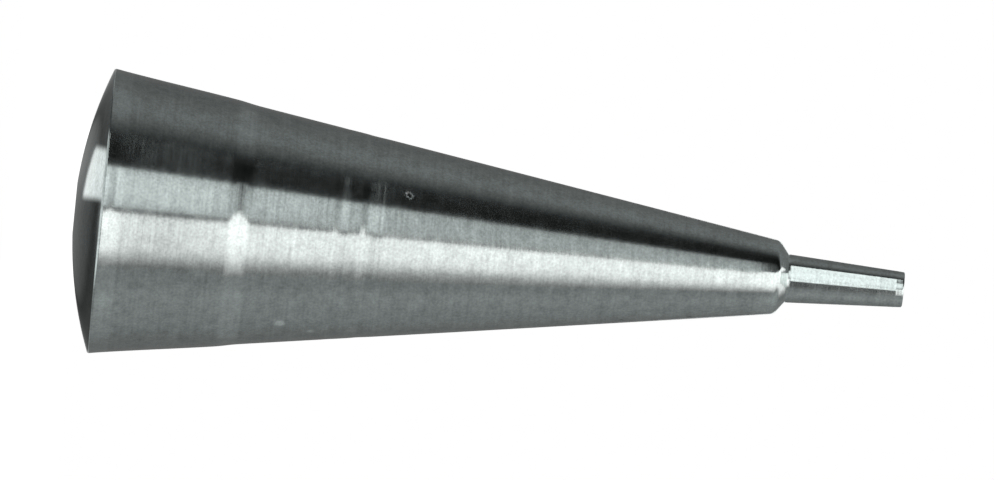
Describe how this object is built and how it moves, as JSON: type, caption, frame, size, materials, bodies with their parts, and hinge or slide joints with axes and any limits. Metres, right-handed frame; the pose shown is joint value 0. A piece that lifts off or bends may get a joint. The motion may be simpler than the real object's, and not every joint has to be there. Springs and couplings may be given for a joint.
{
  "type": "dispensing needle tip",
  "caption": "Turned steel dispensing tip: a long cone with a domed rear seat, shallow turned rings and a slim nose, with a bore right through it.",
  "frame": {"origin": "centre of the feed bore's mouth, in the plane of the rear land that the part stands on", "axes": "+Z along the bore from the feed to the outlet; the part is round, so X and Y are any two square directions"},
  "size_m": [0.011, 0.011, 0.032],
  "materials": {
    "steel": "fine turned stainless steel, semi-bright, with ring-shaped tool marks"
  },
  "bodies": {
    "root": {"needle_tip": "steel"}
  },
  "joints": []
}
